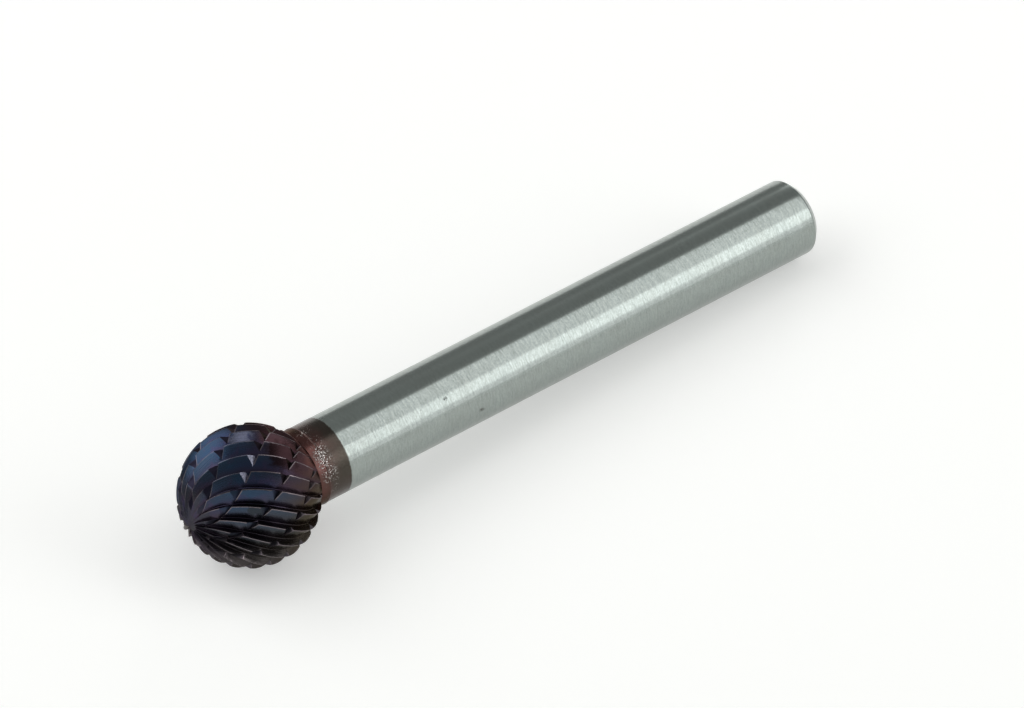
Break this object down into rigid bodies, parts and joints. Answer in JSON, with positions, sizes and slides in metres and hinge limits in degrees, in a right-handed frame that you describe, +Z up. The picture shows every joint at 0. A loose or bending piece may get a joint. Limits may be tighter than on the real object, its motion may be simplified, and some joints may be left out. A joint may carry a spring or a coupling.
{
  "type": "carbide burr",
  "caption": "Ball-nose rotary burr: a fluted, cross-cut carbide ball with a dark coating, brazed to a plain ground steel shank, lying as it rests.",
  "frame": {"origin": "centre of the bounding box at its base, on the surface that the burr lies on", "axes": "+X from the ball towards the shank's free end along the length, +Z up; the burr's own axis slopes down a little towards +X"},
  "size_m": [0.0604, 0.011, 0.0111],
  "materials": {
    "coated_carbide": "dark iridescent hard coating over ground carbide, from blue and violet to maroon",
    "silver_solder": "dull silver solder with a warm cast",
    "ground_steel": "fine centreless-ground steel, tinted brown by the coating beside the head"
  },
  "bodies": {
    "root": {"carbide_head": "coated_carbide", "braze_joint": "silver_solder", "steel_shank": "ground_steel"}
  },
  "joints": []
}
